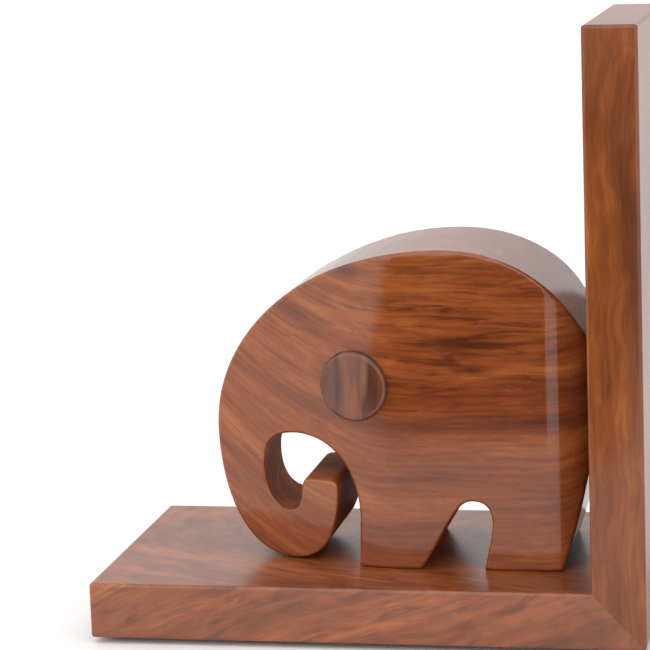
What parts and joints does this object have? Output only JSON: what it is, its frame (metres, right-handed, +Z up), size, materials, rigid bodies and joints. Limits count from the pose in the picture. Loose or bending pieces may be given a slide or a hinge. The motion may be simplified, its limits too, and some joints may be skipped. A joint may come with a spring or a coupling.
{
  "type": "elephant bookend",
  "caption": "Wooden bookend: a sawn elephant with round ear discs and a curled trunk stands on a base board against a mitred upright board.",
  "frame": {"origin": "under the middle of the whole bookend, on the surface that its felt pads stand on", "axes": "+X along the base board from its free end, past the elephant, to the upright board and the books; +Y to the back side; +Z up"},
  "size_m": [0.188, 0.106, 0.206],
  "materials": {
    "board_wood": "gloss lacquer over stained hardwood",
    "elephant_wood": "gloss lacquer over stained hardwood",
    "ear_wood": "gloss lacquer over stained hardwood",
    "dowel_wood": "bare beech",
    "screw_steel": "yellow zinc plate",
    "pad_felt": "pressed felt"
  },
  "bodies": {
    "root": {"base_board": "board_wood", "upright_board": "board_wood", "corner_dowel_1": "dowel_wood", "corner_dowel_2": "dowel_wood", "corner_dowel_3": "dowel_wood", "elephant_body": "elephant_wood", "ear_disc_front": "ear_wood", "ear_disc_back": "ear_wood", "leg_screw_1": "screw_steel", "leg_screw_2": "screw_steel", "leg_screw_3": "screw_steel", "leg_screw_4": "screw_steel", "foot_pad_1": "pad_felt", "foot_pad_2": "pad_felt", "foot_pad_3": "pad_felt", "foot_pad_4": "pad_felt"}
  },
  "joints": []
}
